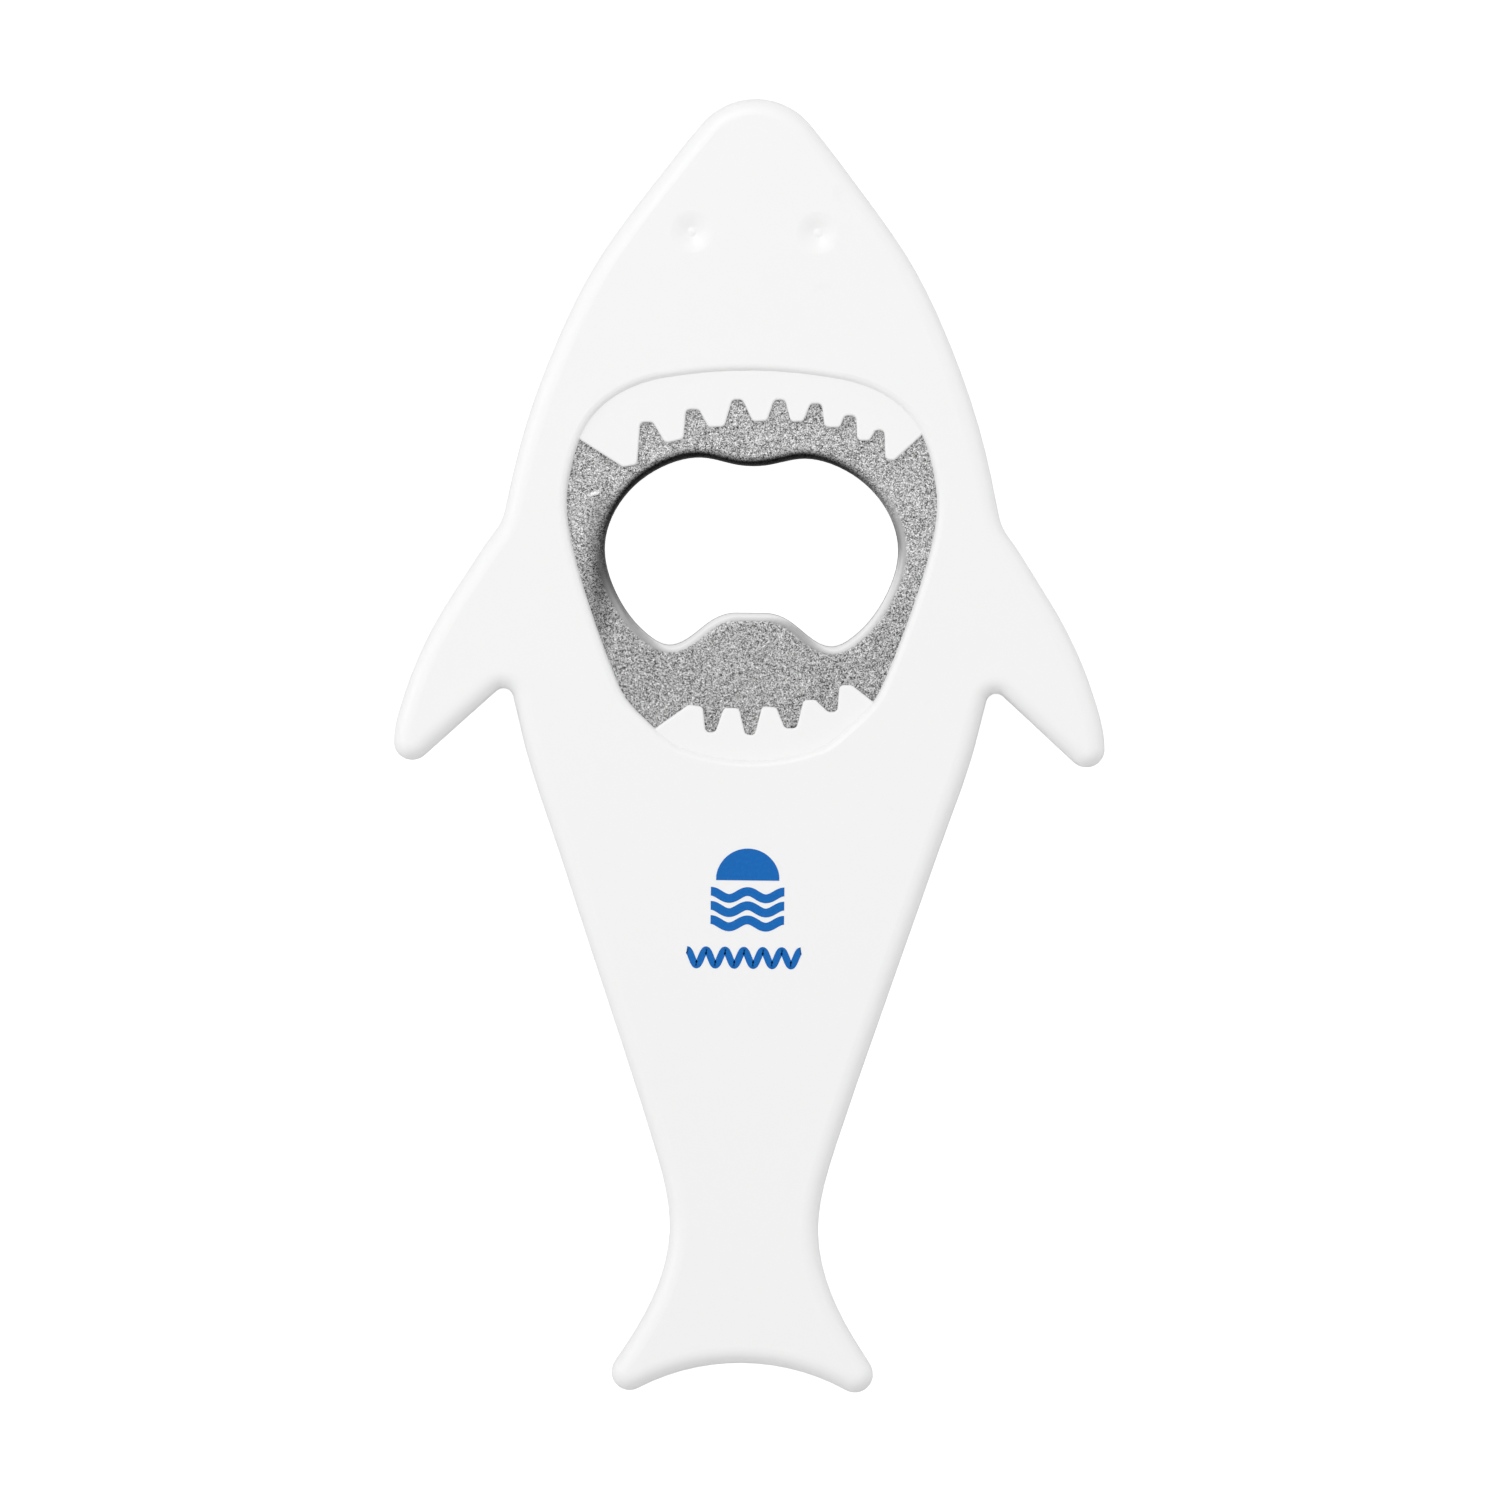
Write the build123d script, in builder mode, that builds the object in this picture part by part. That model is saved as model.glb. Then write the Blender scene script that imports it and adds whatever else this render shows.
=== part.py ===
"""Shark-shaped souvenir bottle opener: two white plastic shells clamped round a steel opener plate.

Frame: +Y points to the nose, +X to the right seen from the front, +Z out of the front face.
The flat back rests on Z = 0 and the origin is the middle of the outline. All sizes in millimetres.
"""

from build123d import *

import os

# ---------------------------------------------------------------- driving dimensions
LENGTH = 146.0              # nose to tail tips
THICKNESS = 7.0             # back face to front face
PARTING_Z = 3.5             # plane where the two shells meet
FACE_WALL = 1.5             # thickness of the front face and of the back face
SIDE_WALL = 1.6             # thickness of the wall round the outline
FRONT_EDGE_R = 1.9          # rounding of the outline's front edge
BACK_EDGE_R = 1.2           # rounding of the outline's back edge
PARTING_BEVEL = 0.15        # bevel that leaves a fine line where the shells meet

NOSE_R = 8.0
SHOULDER_R = 6.0            # soft inner corner where the flank runs into the fin
ARMPIT_R = 1.2              # inner corner behind the fin
FIN_TIP = (38.1, -0.05)     # centre of the fin's rounded tip
FIN_TIP_R = 2.05
TAIL_TIP = (12.72, -70.95)  # centre of the tail's rounded tip
TAIL_TIP_R = 2.05
TAIL_TIP_HEADING = (0.56, -0.83)
TAIL_TIP_TURN = 152.25       # degrees round the tip, so that the hollow tail end is one smooth arc
TAIL_NOTCH_Y = -69.8        # middle of the hollow tail end

MOUTH_TOP_Y = 42.2
MOUTH_BOTTOM_Y = -1.7
MOUTH_EDGE_R = 0.85         # rounding of the mouth opening's front edge
MOUTH_BACK_R = 0.8          # rounding of the mouth opening's back edge
GUM_DROP = 0.5              # gums and teeth lie this far below the front face
TOOTH_ROUND = 0.55          # corners of the teeth, seen from the front
TOOTH_EDGE_R = 0.25         # front edges of the teeth

EYE = (7.1, 57.85)          # middle of the right eye dimple
EYE_R = 1.7
EYE_DEPTH = 0.5
EYE_RIM_R = 3.0             # wide, so that the dimple has no visible edge
EYE_PAD_R = 3.0             # thickening behind each eye
EYE_PAD_T = 0.95
PUPIL_R = 0.6
PUPIL_HEIGHT = 0.15

PLATE_T = 2.0               # steel thickness
PLATE_RIM = 4.0             # width of steel hidden under the shell round the mouth
PLATE_GAP = 0.15            # clearance round the plate's edge
PLATE_EDGE_R = 0.25         # deburred edges of the plate
TANG_WIDTH = 15.0
TANG_END_Y = -27.0
TANG_CORNER_R = 3.0
HOLE_TOP_Y = 31.5           # raised middle between the two lobes that press on the cap
TONGUE_Y = 14.95            # end of the tongue that hooks under the cap's rim
TONGUE_FLAT = 3.4           # width of the straight end of the tongue
HOLE_EDGE_R = 1.25          # rolled front edge of the cap hole

PEG_D = 3.0
PEG_CLEARANCE = 0.15        # radial, in the plate and in the sockets
PEG_END_GAP = 0.5
SOCKET_WALL = 1.3
TANG_PEGS = [(0.0, -10.5), (0.0, -21.0)]
SHELL_PEGS = [(0.0, 62.0), (0.0, 51.5), (31.5, 9.5), (-31.5, 9.5), (0.0, -38.0), (0.0, -60.0)]
RIB_T = 1.0
RIBS_Y = [-31.0, -45.0, -53.0]
RIB_LENGTH = 40.0           # long enough to reach both side walls

# Rows of teeth from left to right. Each tooth or notch is the left and right end of its short flat.
# The gaps are uneven, as on the moulded part.
UPPER_ENDS = [(-20.6, 34.93), (19.9, 35.95)]
UPPER_TEETH = [
    [(-14.6, 31.2), (-13.0, 31.5)],
    [(-9.85, 33.95), (-7.8, 34.45)],
    [(-5.0, 35.8), (-3.2, 35.9)],
    [(0.0, 36.5), (1.6, 36.6)],
    [(4.3, 36.5), (5.7, 36.6)],
    [(8.1, 36.0), (9.8, 35.9)],
    [(11.8, 34.5), (13.2, 34.5)],
    [(15.0, 32.4), (16.0, 32.3)],
]
UPPER_NOTCHES = [
    [(-12.7, 36.3), (-11.3, 36.3)],
    [(-7.55, 37.8), (-6.1, 37.8)],
    [(-2.35, 38.95), (-1.2, 38.95)],
    [(2.4, 39.0), (3.6, 39.0)],
    [(6.5, 38.6), (7.75, 38.6)],
    [(10.35, 37.3), (11.65, 37.3)],
    [(13.85, 35.7), (14.85, 35.7)],
]
LOWER_ENDS = [(-11.9, 0.85), (15.1, 4.13)]
LOWER_TEETH = [
    [(-6.9, 4.5), (-5.3, 4.3)],
    [(-2.9, 4.2), (-1.2, 4.15)],
    [(1.4, 4.4), (3.0, 4.3)],
    [(6.1, 5.2), (7.4, 5.2)],
    [(10.1, 6.9), (11.5, 6.9)],
]
LOWER_NOTCHES = [
    [(-4.95, 1.4), (-3.85, 1.4)],
    [(-0.45, 1.15), (0.6, 1.15)],
    [(4.0, 1.95), (5.3, 1.95)],
    [(8.85, 3.85), (9.9, 3.85)],
]

# ---------------------------------------------------------------- worked out from the above
NOSE_Y = LENGTH / 2
CEILING_Z = THICKNESS - FACE_WALL       # underside of the front face, which rests on the plate
PLATE_Z = CEILING_Z - PLATE_T
GUM_Z = THICKNESS - GUM_DROP
SOCKET_R = PEG_D / 2 + PEG_CLEARANCE
GUM_BACK_Y = 25.0                       # how far each gum's hidden side reaches past its row of teeth
MATCH = 0.01                            # tolerance for finding an edge by its place
GUM_OVERLAP = 1.5                       # how far the gums run into the wall round the mouth
NATURAL = (1, 1)                        # pull of a spline's end tangents that adds no ripple


def cap_sphere_radius(rim_radius, height):
    """Radius of the sphere whose cap has this rim radius and height."""
    return (rim_radius**2 + height**2) / (2 * height)


# ---------------------------------------------------------------- profiles
with BuildSketch() as shark:
    with BuildLine():
        nose = CenterArc((0, NOSE_Y - NOSE_R), NOSE_R, 90, -50)
        flank = Spline(
            nose @ 1, (12.1, 62.5), (17.45, 55), (22.4, 45), (25.9, 35), (27.9, 26.3),
            tangents=(nose % 1, (0.2, -1)), tangent_scalars=NATURAL,
        )
        shoulder = JernArc(flank @ 1, flank % 1, SHOULDER_R, 27)
        fin_side = (FIN_TIP[0] + FIN_TIP_R, FIN_TIP[1])
        leading_edge = Spline(
            shoulder @ 1, (31.6, 20), (34.75, 15), (37.3, 10), (39.25, 4.7), fin_side,
            tangents=(shoulder % 1, (0, -1)), tangent_scalars=NATURAL,
        )
        fin_end = JernArc(leading_edge @ 1, (0, -1), FIN_TIP_R, -132.5)
        trailing_edge = Line(fin_end @ 1, fin_end @ 1 + (fin_end % 1) * 10.9)
        armpit = JernArc(trailing_edge @ 1, trailing_edge % 1, ARMPIT_R, 118)
        tail_side = (
            TAIL_TIP[0] - TAIL_TIP_R * TAIL_TIP_HEADING[1],
            TAIL_TIP[1] + TAIL_TIP_R * TAIL_TIP_HEADING[0],
        )
        side = Spline(
            armpit @ 1, (25.45, 0), (22.15, -10), (18.75, -20), (10.35, -45), (8.4, -55),
            (10.2, -62.5), tail_side,
            tangents=(armpit % 1, TAIL_TIP_HEADING), tangent_scalars=NATURAL,
        )
        tail_end = JernArc(side @ 1, TAIL_TIP_HEADING, TAIL_TIP_R, -TAIL_TIP_TURN)
        TangentArc(tail_end @ 1, (0, TAIL_NOTCH_Y), tangent=tail_end % 1)
        Line((0, TAIL_NOTCH_Y), (0, NOSE_Y))
    make_face()
    mirror(about=Plane.YZ)

# egg-shaped mouth opening, wide end towards the nose
with BuildSketch() as mouth:
    with BuildLine():
        top = ThreePointArc((-10, 41.3), (0, MOUTH_TOP_Y), (10, 41.3))
        bottom = ThreePointArc((7.6, -0.35), (0, MOUTH_BOTTOM_Y), (-7.6, -0.35))
        right_side = Spline(
            top @ 1, (15, 39.5), (18.4, 36.4), (20.3, 31.7), (20.9, 27.3), (20.1, 21.8),
            (18.0, 14.9), (15.25, 7.6), (13.9, 5.0), (12.0, 3.0), (9.9, 1.1), bottom @ 0,
            tangents=(top % 1, bottom % 0), tangent_scalars=NATURAL,
        )
        mirror(right_side, about=Plane.YZ)
    make_face()

# hole that grips the cap: two lobes either side of a raised middle above, a tongue below
with BuildSketch() as cap_hole:
    with BuildLine():
        middle = ThreePointArc((-1.6, 31.62), (0, HOLE_TOP_Y), (1.6, 31.62))
        right_lobes = Spline(
            middle @ 1, (5.5, 32.4), (10, 31.4), (14, 28.4), (16.55, 22.5), (15.2, 17),
            (11.6, 12.4), (9.2, 11.25), (6.8, 12.2), (4.3, 14.15), (TONGUE_FLAT / 2, TONGUE_Y),
            tangents=(middle % 1, (-1, 0)), tangent_scalars=NATURAL,
        )
        mirror(right_lobes, about=Plane.YZ)
        Line((TONGUE_FLAT / 2, TONGUE_Y), (-TONGUE_FLAT / 2, TONGUE_Y))
    make_face()


def grown(outline, amount):
    """The outline moved outward by amount, its offset curves turned into plain splines."""
    with BuildSketch(mode=Mode.PRIVATE) as larger:
        add(outline)
        offset(amount=amount)
    return larger.sketch.to_splines()


def plate_outline(extra=0.0):
    """The mouth's egg grown by the plate's hidden rim, with a tang towards the tail."""
    tang_length = extra - TANG_END_Y
    with BuildSketch(mode=Mode.PRIVATE) as tang:
        with Locations((0, -tang_length / 2)):
            RectangleRounded(TANG_WIDTH + 2 * extra, tang_length, TANG_CORNER_R)
    with BuildSketch(mode=Mode.PRIVATE) as plate:
        add(grown(mouth.sketch, PLATE_RIM + extra))
        add(tang.sketch)
    return plate.sketch


def row_points(ends, teeth, notches):
    """Corner points along a row of teeth, from its left end to its right end."""
    points = [ends[0]]
    for tooth, notch in zip(teeth, notches + [[]]):
        points += tooth + notch
    return points + [ends[1]]


def make_gum(row, back_y):
    """A gum with its teeth, trimmed to just outside the mouth opening."""
    with BuildPart(mode=Mode.PRIVATE) as gum:
        with BuildSketch(Plane.XY.offset(CEILING_Z)):
            with BuildLine():
                teeth = FilletPolyline(*row, radius=TOOTH_ROUND)
                Polyline(row[-1], (row[-1][0], back_y), (row[0][0], back_y), row[0])
            make_face()
        extrude(amount=GUM_Z - CEILING_Z)
        front_edges = gum.edges().group_by(Axis.Z)[-1]
        to_sketch = Location((0, 0, -GUM_Z))
        tooth_edges = [e for e in front_edges if teeth.distance_to(to_sketch * Vertex(e @ 0.5)) < MATCH]
        fillet(tooth_edges, radius=TOOTH_EDGE_R)
        with BuildSketch(Plane.XY.offset(CEILING_Z)):
            add(grown(mouth.sketch, GUM_OVERLAP))
        extrude(amount=GUM_Z - CEILING_Z, mode=Mode.INTERSECT)
    return gum.part


upper_row = row_points(UPPER_ENDS, UPPER_TEETH, UPPER_NOTCHES)
lower_row = row_points(LOWER_ENDS, LOWER_TEETH, LOWER_NOTCHES)
upper_gum = make_gum(upper_row, UPPER_ENDS[0][1] + GUM_BACK_Y)
lower_gum = make_gum(lower_row, LOWER_ENDS[0][1] - GUM_BACK_Y)

# ---------------------------------------------------------------- front shell
with BuildPart() as front_shell:
    with BuildSketch(Plane.XY.offset(PARTING_Z)):
        add(shark.sketch)
    extrude(amount=THICKNESS - PARTING_Z)
    fillet(front_shell.edges().group_by(Axis.Z)[-1], radius=FRONT_EDGE_R)
    chamfer(front_shell.edges().group_by(Axis.Z)[0], length=PARTING_BEVEL)

    # hollow under the face, leaving the outer wall, a wall round the plate and the tail's ribs
    with BuildSketch(Plane.XY.offset(PARTING_Z)):
        add(grown(shark.sketch, -SIDE_WALL))
        add(plate_outline(PLATE_GAP + RIB_T), mode=Mode.SUBTRACT)
        with Locations(*[(0, y) for y in RIBS_Y]):
            Rectangle(RIB_LENGTH, RIB_T, mode=Mode.SUBTRACT)
    extrude(amount=CEILING_Z - PARTING_Z, mode=Mode.SUBTRACT)

    # pocket for the plate
    with BuildSketch(Plane.XY.offset(PARTING_Z)):
        add(plate_outline(PLATE_GAP))
    extrude(amount=CEILING_Z - PARTING_Z, mode=Mode.SUBTRACT)

    # mouth opening with its gums and teeth
    with BuildSketch(Plane.XY.offset(CEILING_Z)):
        add(mouth.sketch)
    extrude(amount=FACE_WALL, mode=Mode.SUBTRACT)
    fillet(front_shell.faces().sort_by(Axis.Z)[-1].inner_wires()[0].edges(), radius=MOUTH_EDGE_R)
    add(upper_gum)
    add(lower_gum)

    # eyes: a dimple with a small domed pupil, on a thicker pad
    eye_places = [EYE, (-EYE[0], EYE[1])]
    with BuildSketch(Plane.XY.offset(CEILING_Z)):
        with Locations(*eye_places):
            Circle(EYE_PAD_R)
    extrude(amount=-EYE_PAD_T)
    eye_sphere_r = cap_sphere_radius(EYE_R, EYE_DEPTH)
    with Locations(*[(x, y, THICKNESS - EYE_DEPTH + eye_sphere_r) for x, y in eye_places]):
        Sphere(eye_sphere_r, mode=Mode.SUBTRACT)
    eye_rims = front_shell.faces().sort_by(Axis.Z)[-1].inner_wires()
    fillet([e for wire in eye_rims for e in wire.edges() if e.geom_type == GeomType.CIRCLE],
           radius=EYE_RIM_R)
    pupil_sphere_r = cap_sphere_radius(PUPIL_R, PUPIL_HEIGHT)
    pupil_z = THICKNESS - EYE_DEPTH + PUPIL_HEIGHT - pupil_sphere_r
    with Locations(*[(x, y, pupil_z) for x, y in eye_places]):
        Sphere(pupil_sphere_r)

    # pegs that locate the plate and the back shell
    with BuildSketch(Plane.XY.offset(CEILING_Z)):
        with Locations(*TANG_PEGS, *SHELL_PEGS):
            Circle(PEG_D / 2)
    extrude(amount=FACE_WALL + PEG_END_GAP - CEILING_Z)

front_shell.part.label = "front_shell"

# ---------------------------------------------------------------- back shell
with BuildPart() as back_shell:
    with BuildSketch():
        add(shark.sketch)
    extrude(amount=PARTING_Z)
    fillet(back_shell.edges().group_by(Axis.Z)[0], radius=BACK_EDGE_R)
    chamfer(back_shell.edges().group_by(Axis.Z)[-1], length=PARTING_BEVEL)

    # hollow above the back face, leaving the outer wall, the land that carries the plate,
    # the tail's ribs and the bosses round the sockets
    with BuildSketch(Plane.XY.offset(FACE_WALL)):
        add(grown(shark.sketch, -SIDE_WALL))
        add(plate_outline(), mode=Mode.SUBTRACT)
        with Locations(*[(0, y) for y in RIBS_Y]):
            Rectangle(RIB_LENGTH, RIB_T, mode=Mode.SUBTRACT)
        with Locations(*SHELL_PEGS):
            Circle(SOCKET_R + SOCKET_WALL, mode=Mode.SUBTRACT)
    extrude(amount=PARTING_Z - FACE_WALL, mode=Mode.SUBTRACT)

    # mouth opening, which lets the cap reach the plate from behind
    with BuildSketch():
        add(mouth.sketch)
    extrude(amount=PARTING_Z, mode=Mode.SUBTRACT)
    fillet(back_shell.faces().sort_by(Axis.Z)[0].inner_wires()[0].edges(), radius=MOUTH_BACK_R)

    # sockets for the front shell's pegs
    with BuildSketch(Plane.XY.offset(FACE_WALL)):
        with Locations(*TANG_PEGS, *SHELL_PEGS):
            Circle(SOCKET_R)
    extrude(amount=PARTING_Z - FACE_WALL, mode=Mode.SUBTRACT)

back_shell.part.label = "back_shell"

# ---------------------------------------------------------------- opener plate
with BuildPart() as opener_plate:
    with BuildSketch(Plane.XY.offset(PLATE_Z)):
        add(plate_outline())
        add(cap_hole.sketch, mode=Mode.SUBTRACT)
        with Locations(*TANG_PEGS):
            Circle(SOCKET_R, mode=Mode.SUBTRACT)
    extrude(amount=PLATE_T)
    plate_faces = opener_plate.faces().sort_by(Axis.Z)
    hole_front = plate_faces[-1].inner_wires().sort_by(SortBy.LENGTH)[-1]
    hole_back = plate_faces[0].inner_wires().sort_by(SortBy.LENGTH)[-1]
    rims = plate_faces[-1].outer_wire().edges() + plate_faces[0].outer_wire().edges()
    fillet(hole_front.edges(), radius=HOLE_EDGE_R)
    fillet(hole_back.edges() + rims, radius=PLATE_EDGE_R)

opener_plate.part.label = "opener_plate"

# ---------------------------------------------------------------- files
os.makedirs("parts", exist_ok=True)
export_step(front_shell.part, "parts/front_shell.step")
export_step(back_shell.part, "parts/back_shell.step")
export_step(opener_plate.part, "parts/opener_plate.step")
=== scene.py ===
"""Looks for the shark-shaped bottle opener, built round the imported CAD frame. Units are metres."""

from math import cos, pi, radians, sin, sqrt

import bmesh
import bpy
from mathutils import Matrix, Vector


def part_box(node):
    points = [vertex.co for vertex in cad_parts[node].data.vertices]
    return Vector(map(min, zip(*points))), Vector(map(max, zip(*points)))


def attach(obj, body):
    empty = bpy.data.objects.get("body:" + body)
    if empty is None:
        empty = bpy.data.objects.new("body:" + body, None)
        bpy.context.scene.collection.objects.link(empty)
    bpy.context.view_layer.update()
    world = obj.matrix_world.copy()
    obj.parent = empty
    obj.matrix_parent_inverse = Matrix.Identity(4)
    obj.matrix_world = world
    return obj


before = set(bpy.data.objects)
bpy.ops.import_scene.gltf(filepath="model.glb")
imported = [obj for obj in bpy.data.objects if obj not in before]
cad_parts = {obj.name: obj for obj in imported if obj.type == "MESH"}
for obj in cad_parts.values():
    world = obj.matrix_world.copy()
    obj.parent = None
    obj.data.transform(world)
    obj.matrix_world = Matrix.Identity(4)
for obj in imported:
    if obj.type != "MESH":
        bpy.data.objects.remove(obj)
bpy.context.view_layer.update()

MM = 0.001

# ---------------------------------------------------------------- places, from the frame
lowest, highest = (Vector(corner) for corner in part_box("front_shell"))
middle = (lowest + highest) / 2
face_z = highest.z
length = highest.y - lowest.y


# ---------------------------------------------------------------- node material helpers
class Nodes:
    """Short calls for building one node tree."""

    def __init__(self, tree):
        self.tree = tree
        tree.nodes.clear()

    def add(self, kind, inputs=None, **settings):
        node = self.tree.nodes.new(kind)
        for name, value in settings.items():
            setattr(node, name, value)
        for name, value in (inputs or {}).items():
            self.put(node.inputs[name], value)
        return node

    def put(self, socket, value):
        if isinstance(value, bpy.types.NodeSocket):
            self.tree.links.new(value, socket)
        else:
            socket.default_value = value

    def math(self, operation, first, second=0.0, third=0.0, clamp=False):
        node = self.add("ShaderNodeMath", operation=operation, use_clamp=clamp)
        for socket, value in zip(node.inputs, (first, second, third)):
            self.put(socket, value)
        return node.outputs[0]

    def blend(self, factor, first, second):
        """The first value where factor is 0, the second where it is 1."""
        return self.math("MULTIPLY_ADD", factor, self.math("SUBTRACT", second, first), first)

    def remap(self, value, old, new):
        """Turns the range old into the range new, held at its ends."""
        node = self.add("ShaderNodeMapRange", {
            "Value": value, "From Min": old[0], "From Max": old[1], "To Min": new[0], "To Max": new[1],
        })
        return node.outputs["Result"]

    def axis(self, vector, name):
        return self.add("ShaderNodeSeparateXYZ", {"Vector": vector}).outputs[name]

    def dot(self, vector, direction):
        node = self.add("ShaderNodeVectorMath", {0: vector, 1: direction}, operation="DOT_PRODUCT")
        return node.outputs["Value"]

    def noise(self, place, feature_size, detail=2.0, roughness=0.5):
        """Noise between 0 and 1 whose blobs are about feature_size metres across."""
        node = self.add("ShaderNodeTexNoise", {
            "Vector": place, "Scale": 1.0 / feature_size, "Detail": detail, "Roughness": roughness,
        })
        return node.outputs["Fac"]

    def soft_spot(self, place, centre, reach, tilt=0.0):
        """1 in the middle of an oval seen from the front, fading to 0 at its rim. Tilt is in degrees."""
        oval = self.add("ShaderNodeMapping", {
            "Vector": place, "Location": (*centre, 0.0), "Scale": (*reach, 1.0),
            "Rotation": (0, 0, radians(tilt)),
        }, vector_type="TEXTURE")
        away = self.add("ShaderNodeVectorMath", {0: oval.outputs["Vector"]}, operation="LENGTH")
        return self.remap(away.outputs["Value"], (0.1, 1.0), (1.0, 0.0))

    def mix_colour(self, factor, first, second):
        node = self.add("ShaderNodeMix", data_type="RGBA")
        self.put(node.inputs["Factor"], factor)
        self.put(node.inputs["A"], first)
        self.put(node.inputs["B"], second)
        return node.outputs["Result"]

    def bump(self, height, distance, strength=1.0, under=None):
        inputs = {"Height": height, "Distance": distance, "Strength": strength}
        if under is not None:
            inputs["Normal"] = under
        return self.add("ShaderNodeBump", inputs).outputs["Normal"]


def grey(value, blue_shift=0.0):
    return (value, value, value + blue_shift, 1.0)


def new_material(name):
    material = bpy.data.materials.new(name)
    material.use_nodes = True
    nodes = Nodes(material.node_tree)
    place = nodes.add("ShaderNodeTexCoord").outputs["Object"]
    output = nodes.add("ShaderNodeOutputMaterial")
    shader = nodes.add("ShaderNodeBsdfPrincipled")
    nodes.put(output.inputs["Surface"], shader.outputs["BSDF"])
    return material, nodes, place, shader


# ---------------------------------------------------------------- white plastic
CLOUD_SIZE, CLOUD_TINT = 30 * MM, 0.006         # slow drift of the white, and how far it drifts
SMUDGE_SIZE, SMUDGE_GREY = 6 * MM, 0.4
SPECK_SIZE, SPECK_GREY = 1.1 * MM, 0.3
HANDLED_SIZE, HANDLED_RANGE = 12 * MM, 0.2      # patches worn smoother and rougher by handling
PEEL_SIZE, PEEL_DEPTH = 1.6 * MM, 0.002 * MM    # orange peel from the mould
TEXTURE_SIZE = 0.16 * MM
ABS_IOR = 1.53


def white_plastic(name, whiteness, roughness, texture_depth):
    """Moulded white ABS: faint cloudiness, orange peel, sparse dirt specks and handling smudges."""
    material, nodes, place, shader = new_material(name)
    cloud = nodes.noise(place, CLOUD_SIZE, detail=3.0)
    cool_white, warm_white = grey(whiteness - CLOUD_TINT), grey(whiteness + CLOUD_TINT, -0.002)
    tint = nodes.mix_colour(cloud, cool_white, warm_white)
    smudge = nodes.noise(place, SMUDGE_SIZE, detail=5.0, roughness=0.7)
    tint = nodes.mix_colour(nodes.remap(smudge, (0.66, 0.76), (0.0, 0.05)), tint, grey(SMUDGE_GREY))
    speck = nodes.noise(place, SPECK_SIZE, detail=1.0)
    tint = nodes.mix_colour(nodes.remap(speck, (0.83, 0.86), (0.0, 0.3)), tint, grey(SPECK_GREY))
    nodes.put(shader.inputs["Base Color"], tint)

    handled = nodes.noise(place, HANDLED_SIZE, detail=4.0, roughness=0.6)
    nodes.put(shader.inputs["Roughness"], nodes.math(
        "MULTIPLY_ADD", handled, HANDLED_RANGE, roughness - HANDLED_RANGE / 2))
    peel = nodes.bump(nodes.noise(place, PEEL_SIZE, detail=1.0), PEEL_DEPTH)
    texture = nodes.noise(place, TEXTURE_SIZE)
    nodes.put(shader.inputs["Normal"], nodes.bump(texture, texture_depth, under=peel))
    nodes.put(shader.inputs["IOR"], ABS_IOR)
    nodes.put(shader.inputs["Subsurface Weight"], 0.15)
    nodes.put(shader.inputs["Subsurface Radius"], (1.0, 0.95, 0.9))
    nodes.put(shader.inputs["Subsurface Scale"], 0.3 * MM)
    return material


# ---------------------------------------------------------------- steel
GRAIN_SIZE, GRAIN_DEPTH = 0.11 * MM, 0.01 * MM
DENT_SIZE, DENT_DEPTH = 0.45 * MM, 0.02 * MM
BLOTCH_SIZE = 6 * MM
SCUFF_PLACE = (middle.x - 17.7 * MM, middle.y + 28.3 * MM)          # short scrape left of the hole
SCUFF_REACH, SCUFF_TILT = (1.1 * MM, 0.3 * MM), 25
SCUFF_GAIN = 0.9
PAINTED_SHADE_PLACE = (middle.x - 16.9 * MM, middle.y + 20 * MM)            # painted shade: a darkened strip left of the hole, standing in for a dark reflection on the plate
PAINTED_SHADE_REACH = (2.5 * MM, 11 * MM)
PAINTED_SHADE_LEVEL = 0.25
TAIL_DARK_Y, TAIL_CLEAR_Y = middle.y + 10 * MM, middle.y + 24 * MM     # the steel is darker towards the tail end
TAIL_DARK_LEVEL = 0.87
TAILWARD = (0.34, -0.94, 0.0)                                       # the way the edge with the painted dark reflection faces
FLAT_ROUGHNESS, EDGE_ROUGHNESS = 0.42, 0.50


def blasted_flats(nodes, place):
    """Brightness of the shot-blasted flats, with the fine and the coarse grain that it is made from, and
    painted glints.
    """
    cells = nodes.add("ShaderNodeTexVoronoi", {"Vector": place, "Scale": 1.0 / GRAIN_SIZE})
    fine = nodes.add("ShaderNodeSeparateColor", {"Color": cells.outputs["Color"]}).outputs["Red"]
    coarse = nodes.noise(place, DENT_SIZE, detail=3.0, roughness=0.6)
    blotch = nodes.noise(place, BLOTCH_SIZE, detail=3.0)
    level = nodes.remap(fine, (0.0, 1.0), (0.05, 0.90))
    level = nodes.math("ADD", level, nodes.remap(coarse, (0.3, 0.7), (-0.10, 0.10)))
    level = nodes.math("ADD", level, nodes.remap(blotch, (0.3, 0.7), (-0.03, 0.03)))
    # painted highlight: the brightest grain cells get extra brightness in the colour, as painted glints
    painted_glint = nodes.remap(fine, (0.95, 0.97), (0.0, 0.30))
    level = nodes.math("ADD", level, painted_glint, clamp=True)
    scuff = nodes.soft_spot(place, SCUFF_PLACE, SCUFF_REACH, SCUFF_TILT)
    return nodes.math("MULTIPLY_ADD", scuff, SCUFF_GAIN, level), fine, coarse


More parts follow.
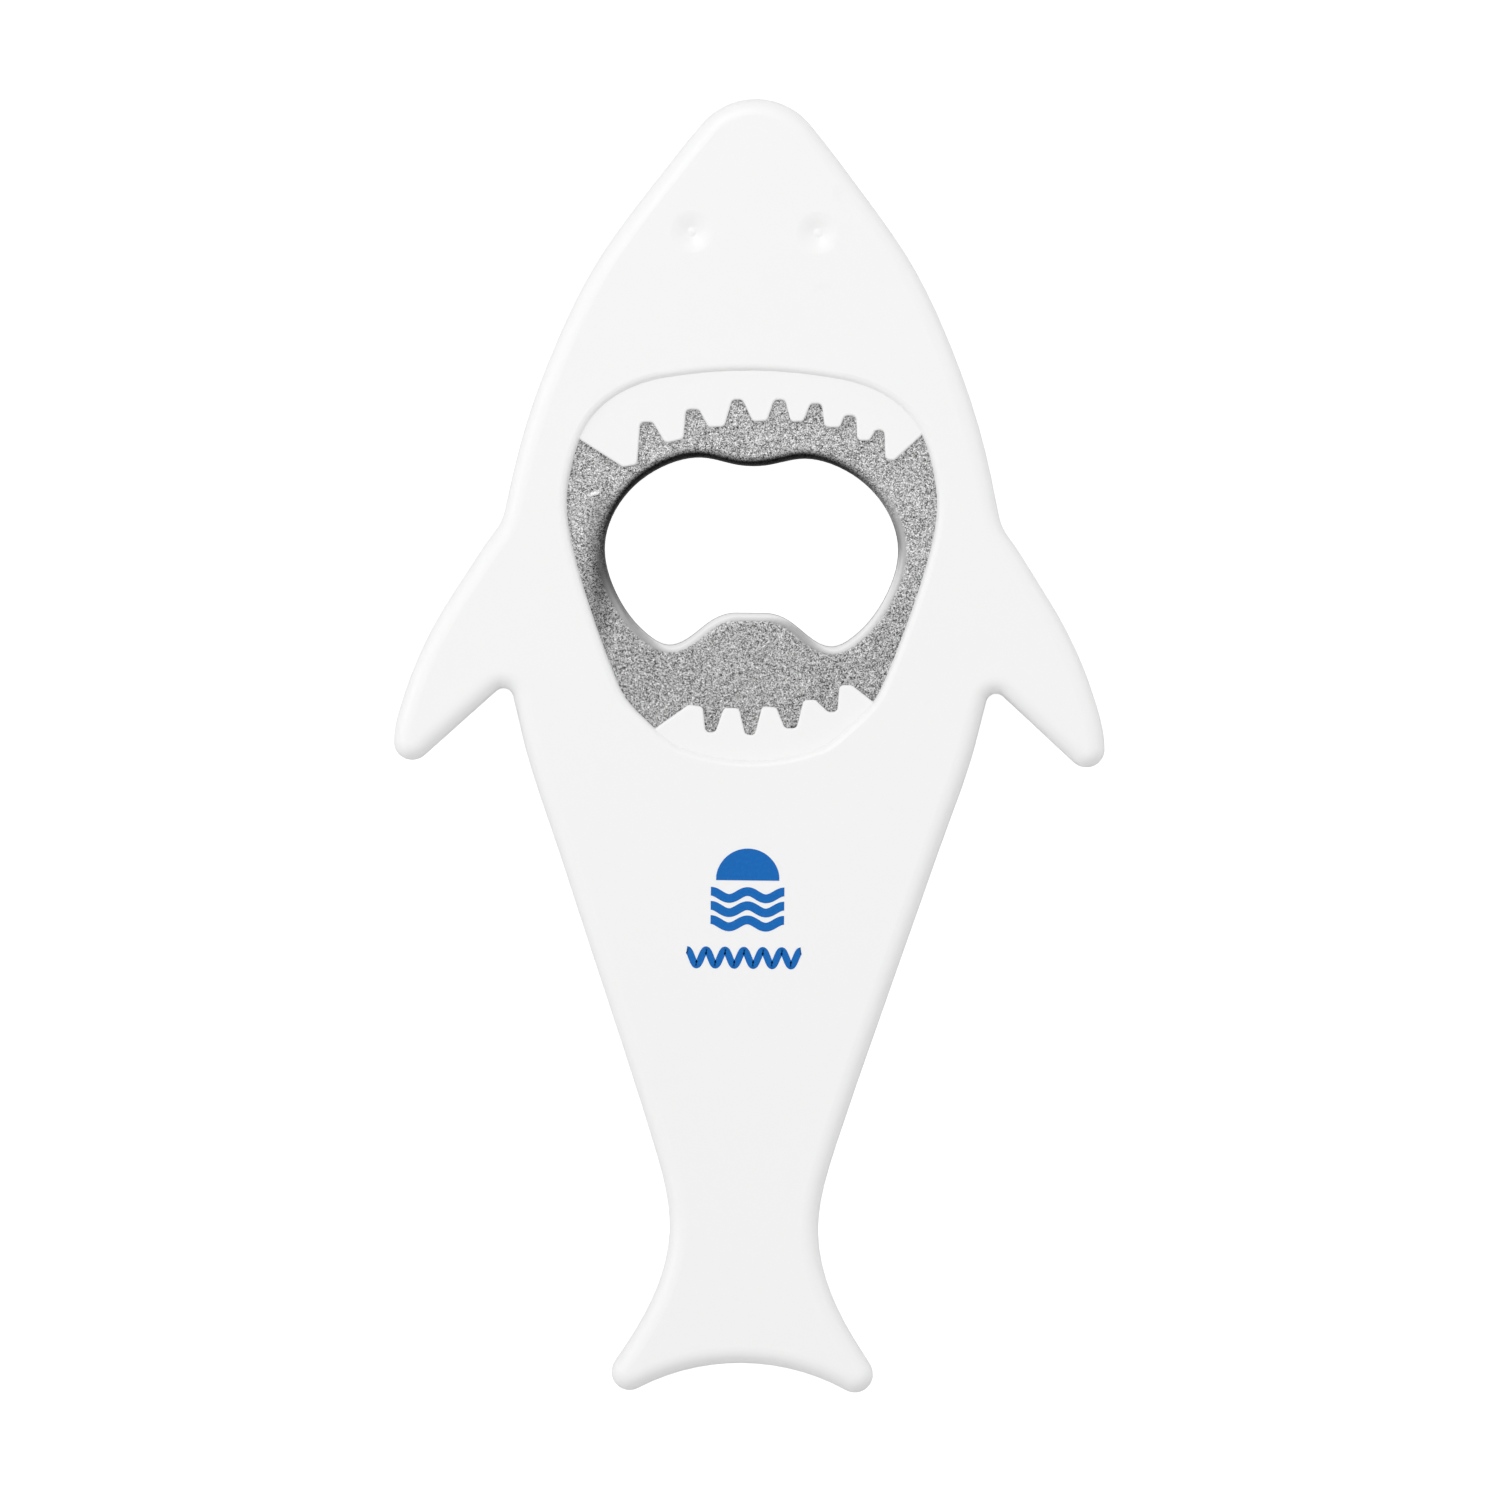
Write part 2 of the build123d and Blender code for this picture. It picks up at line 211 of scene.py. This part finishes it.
def rolled_edge(nodes, normal):
    """How smooth a point of the edge is, how much painted white and painted dark reflection it has, and the
    brightness of its smooth metal.

    The edge is smooth where it doesn't face the tail. Where it faces the nose it is painted white, a painted
    reflection of the bright studio; where it faces the tail it is painted nearly black, a painted reflection
    of the dark gap. Its steepest walls get painted shade.
    """
    upright = nodes.math("ABSOLUTE", nodes.axis(normal, "Z"))
    tailward = nodes.dot(normal, TAILWARD)
    smooth = nodes.math("MULTIPLY", nodes.remap(upright, (0.995, 0.95), (0.0, 1.0)),
                        nodes.remap(tailward, (0.0, 0.2), (1.0, 0.0)))
    # painted reflection: the edge facing the nose is painted white
    painted_white_reflection = nodes.math("MULTIPLY", smooth, nodes.remap(tailward, (-0.2, -0.6), (0.0, 1.0)))
    # painted reflection: the edge facing the tail is painted nearly black
    painted_dark_reflection = nodes.remap(tailward, (0.08, 0.60), (0.0, 0.95))
    # painted shade: the steepest walls of the edge are painted darker
    painted_wall_shade = nodes.remap(upright, (0.10, 0.45), (0.30, 1.0))
    level = nodes.math("MULTIPLY", nodes.math("MULTIPLY_ADD", painted_white_reflection, 0.55, 0.45), painted_wall_shade)
    return smooth, painted_white_reflection, painted_dark_reflection, level


def blasted_steel(name):
    """Stamped steel: hard bright and dark grain with painted glints on the flats, rolled edges round the
    hole with painted reflections and painted shade.
    """
    material, nodes, place, shader = new_material(name)
    normal = nodes.add("ShaderNodeNewGeometry").outputs["Normal"]
    flat_level, fine, coarse = blasted_flats(nodes, place)
    smooth, painted_white_reflection, painted_dark_reflection, edge_level = rolled_edge(nodes, normal)
    # the rolled edge brings in its painted reflections and painted shade here
    level = nodes.blend(smooth, flat_level, edge_level)
    level = nodes.math("MULTIPLY", level, nodes.math("SUBTRACT", 1.0, painted_dark_reflection))
    # painted shade: darkens the strip of steel left of the hole
    shade = nodes.soft_spot(place, PAINTED_SHADE_PLACE, PAINTED_SHADE_REACH)
    level = nodes.math("MULTIPLY", level, nodes.blend(shade, 1.0, PAINTED_SHADE_LEVEL))
    # the steel's colour is darker towards the tail end
    tail_darkening = nodes.remap(nodes.axis(place, "Y"), (TAIL_DARK_Y, TAIL_CLEAR_Y), (TAIL_DARK_LEVEL, 1.0))
    level = nodes.math("MULTIPLY", level, tail_darkening)
    colour = nodes.add("ShaderNodeCombineColor", {"Red": level, "Green": level, "Blue": level})
    nodes.put(shader.inputs["Base Color"], colour.outputs["Color"])

    # where the painted white reflection is, the steel is drawn as non-metallic white
    nodes.put(shader.inputs["Metallic"], nodes.math("SUBTRACT", 1.0, painted_white_reflection))
    nodes.put(shader.inputs["Roughness"], nodes.blend(smooth, FLAT_ROUGHNESS, EDGE_ROUGHNESS))
    bump_strength = nodes.blend(smooth, 1.0, 0.1)
    dents = nodes.bump(coarse, DENT_DEPTH, bump_strength)
    nodes.put(shader.inputs["Normal"], nodes.bump(fine, GRAIN_DEPTH, bump_strength, under=dents))
    return material


# ---------------------------------------------------------------- ink
COVER_SIZE, COVER_DEPTH = 0.35 * MM, 0.002 * MM     # unevenness of the ink film
DEEP_BLUE = (0.004, 0.125, 0.44, 1.0)
LIGHT_BLUE = (0.007, 0.142, 0.48, 1.0)


def printed_ink(name):
    """Pad-printed blue ink: slightly uneven cover and a soft sheen."""
    material, nodes, place, shader = new_material(name)
    cover = nodes.noise(place, COVER_SIZE, detail=3.0)
    blue = nodes.mix_colour(nodes.remap(cover, (0.3, 0.7), (0.0, 1.0)), DEEP_BLUE, LIGHT_BLUE)
    nodes.put(shader.inputs["Base Color"], blue)
    nodes.put(shader.inputs["Specular IOR Level"], 0.15)
    nodes.put(shader.inputs["Roughness"], 0.5)
    nodes.put(shader.inputs["Normal"], nodes.bump(cover, COVER_DEPTH))
    return material


# ---------------------------------------------------------------- materials on the CAD pieces
def paint(node_name, material):
    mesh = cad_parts[node_name].data
    mesh.materials.clear()
    mesh.materials.append(material)


satin_white = white_plastic("white_front_plastic", whiteness=0.90, roughness=0.36, texture_depth=0.0006 * MM)
matt_white = white_plastic("white_back_plastic", whiteness=0.89, roughness=0.42, texture_depth=0.0016 * MM)
paint("front_shell", satin_white)
paint("back_shell", matt_white)
paint("opener_plate", blasted_steel("opener_steel"))


# ---------------------------------------------------------------- printed mark
INK_T = 0.02 * MM
INK = printed_ink("blue_ink")

EMBLEM_CENTRE = Vector((middle.x, middle.y - 0.1105 * length))
SUN_R = 3.6 * MM
SUN_FOOT = 0.85 * MM                            # flat side of the half sun, above the emblem's centre
CORNER_TRIM = 0.99                              # keeps the half sun's corners from ending in a knife edge
WAVE_DROPS = [0.8 * MM, 2.4 * MM, 4.0 * MM]     # the emblem's waves, below its centre
WAVE = {"span": 8.3 * MM, "height": 0.8 * MM, "waves": 2, "width": 1.0 * MM}

BAND_CENTRE = Vector((middle.x - 0.35 * MM, middle.y - 0.1645 * length))
BAND = {"span": 12.8 * MM, "height": 1.7 * MM, "waves": 6, "width": 0.8 * MM}


def ink_piece(name, strokes):
    """Thin ink films. Each stroke is a list of pairs of points, one from each of its two sides."""
    mesh = bpy.data.meshes.new(name)
    shape = bmesh.new()
    for pairs in strokes:
        rings = []
        for left, right in pairs:
            corners = [(left, face_z), (right, face_z), (right, face_z + INK_T), (left, face_z + INK_T)]
            rings.append([shape.verts.new((x, y, z)) for (x, y), z in corners])
        shape.faces.new(rings[0])
        shape.faces.new(reversed(rings[-1]))
        for ring, following in zip(rings, rings[1:]):
            for i in range(4):
                j = (i + 1) % 4
                shape.faces.new((ring[i], following[i], following[j], ring[j]))
    bmesh.ops.recalc_face_normals(shape, faces=shape.faces)
    shape.to_mesh(mesh)
    shape.free()
    mesh.materials.append(INK)
    piece = bpy.data.objects.new(name, mesh)
    bpy.context.scene.collection.objects.link(piece)
    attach(piece, "root")


def half_disc(foot_middle, radius, steps=48):
    """A half disc standing on its flat side, as upright slices that stop just short of its corners."""
    pairs = []
    for i in range(steps + 1):
        x = CORNER_TRIM * radius * cos(pi * (1 - i / steps))
        foot = foot_middle + Vector((x, 0))
        pairs.append((foot, foot + Vector((0, sqrt(radius**2 - x**2)))))
    return pairs


def wave_stroke(centre, span, height, waves, width, steps_per_wave=40):
    """A wavy line of even width, running along X from crest to crest."""
    steps = steps_per_wave * waves
    pairs = []
    for i in range(steps + 1):
        t = i / steps
        phase = 2 * pi * waves * t
        point = centre + Vector((span * (t - 0.5), height / 2 * cos(phase)))
        slope = -height / 2 * sin(phase) * 2 * pi * waves / span
        across = Vector((-slope, 1.0)).normalized() * width / 2
        pairs.append((point - across, point + across))
    return pairs


sun = half_disc(EMBLEM_CENTRE + Vector((0, SUN_FOOT)), SUN_R)
sea = [wave_stroke(EMBLEM_CENTRE - Vector((0, drop)), **WAVE) for drop in WAVE_DROPS]
ink_piece("printed_emblem", [sun, *sea])
ink_piece("printed_wave_band", [wave_stroke(BAND_CENTRE, **BAND)])


# ---------------------------------------------------------------- floor, light and camera
FLOOR_SIDE = 6.0
FLOOR_DROP = 0.4 * MM                   # gap under the back face, so that the two don't touch
PAPER_WHITENESS = 0.72
PAPER_GLOW = 0.75
SKY_BRIGHTNESS = 0.895
SKY_AHEAD = 0.68                        # share of the brightness left straight ahead, past the nose
GAP_BRIGHTNESS = 0.02
AWAY_FROM_GAP = (-0.37, 0.69, 0.62)
VIEW_SIDE = 1.1592 * length             # side of the square that the camera sees at the face
VIEW_SHIFT = Vector((0.09 * MM, -0.56 * MM))    # from the object's middle to the frame's middle
VIEW_TILT = 0.64                        # degrees
CAMERA_HEIGHT = 2.0
SENSOR_SIDE = 36.0                      # in millimetres, as Blender takes it


def make_floor():
    """A pale floor just under the back face. The camera also sees a glow that keeps it clean white."""
    bpy.ops.mesh.primitive_plane_add(size=FLOOR_SIDE, location=(0, 0, -FLOOR_DROP))
    floor = bpy.context.object
    floor.name = "floor"
    material = bpy.data.materials.new("floor_paper")
    material.use_nodes = True
    nodes = Nodes(material.node_tree)
    output = nodes.add("ShaderNodeOutputMaterial")
    paper = nodes.add("ShaderNodeBsdfDiffuse", {"Color": grey(PAPER_WHITENESS)})
    glow = nodes.add("ShaderNodeEmission", {"Color": grey(1.0)})
    seen = nodes.add("ShaderNodeLightPath").outputs["Is Camera Ray"]
    nodes.put(glow.inputs["Strength"], nodes.math("MULTIPLY", seen, PAPER_GLOW))
    both = nodes.add("ShaderNodeAddShader", {0: paper.outputs[0], 1: glow.outputs[0]})
    nodes.put(output.inputs["Surface"], both.outputs[0])
    floor.data.materials.append(material)


def make_sky():
    """Soft studio surround, a little dimmer straight ahead, with a dark gap low behind the tail."""
    world = bpy.data.worlds.new("studio")
    bpy.context.scene.world = world
    world.use_nodes = True
    nodes = Nodes(world.node_tree)
    direction = nodes.add("ShaderNodeTexCoord").outputs["Generated"]
    from_gap = nodes.dot(direction, AWAY_FROM_GAP)
    strength = nodes.remap(from_gap, (-0.50, -0.31), (GAP_BRIGHTNESS, SKY_BRIGHTNESS))
    ahead = nodes.remap(nodes.axis(direction, "Y"), (0.3, 1.0), (1.0, SKY_AHEAD))
    strength = nodes.math("MULTIPLY", strength, ahead)
    surround = nodes.add("ShaderNodeBackground", {"Color": grey(1.0), "Strength": strength})
    output = nodes.add("ShaderNodeOutputWorld")
    nodes.put(output.inputs["Surface"], surround.outputs[0])


def soft_box(name, direction, distance, size, brightness):
    """A square lamp aimed at the object. Brightness 1 lights a white card that faces it to full white."""
    light = bpy.data.lights.new(name, "AREA")
    light.size = size
    light.energy = brightness * (pi * distance) ** 2
    lamp = bpy.data.objects.new(name, light)
    bpy.context.scene.collection.objects.link(lamp)
    lamp.location = Vector(direction).normalized() * distance
    lamp.rotation_euler = (-lamp.location).to_track_quat("-Z", "Y").to_euler()


def make_camera():
    """Long lens straight above the face, with the slight tilt of the object in the frame."""
    data = bpy.data.cameras.new("camera")
    data.sensor_width = SENSOR_SIDE
    data.lens = SENSOR_SIDE * CAMERA_HEIGHT / VIEW_SIDE
    data.clip_end = 20.0
    camera = bpy.data.objects.new("camera", data)
    bpy.context.scene.collection.objects.link(camera)
    camera.location = (middle.x + VIEW_SHIFT.x, middle.y + VIEW_SHIFT.y, face_z + CAMERA_HEIGHT)
    camera.rotation_euler = (0, 0, radians(VIEW_TILT))
    bpy.context.scene.camera = camera


make_floor()
make_sky()
soft_box("key", direction=(-0.27, 0.57, 0.78), distance=0.6, size=0.25, brightness=0.15)
soft_box("left_fill", direction=(-0.87, 0.24, 0.42), distance=0.7, size=0.4, brightness=0.10)
soft_box("right_fill", direction=(0.82, 0.38, 0.42), distance=0.7, size=0.4, brightness=0.08)
make_camera()
bpy.context.scene.view_settings.view_transform = "Standard"
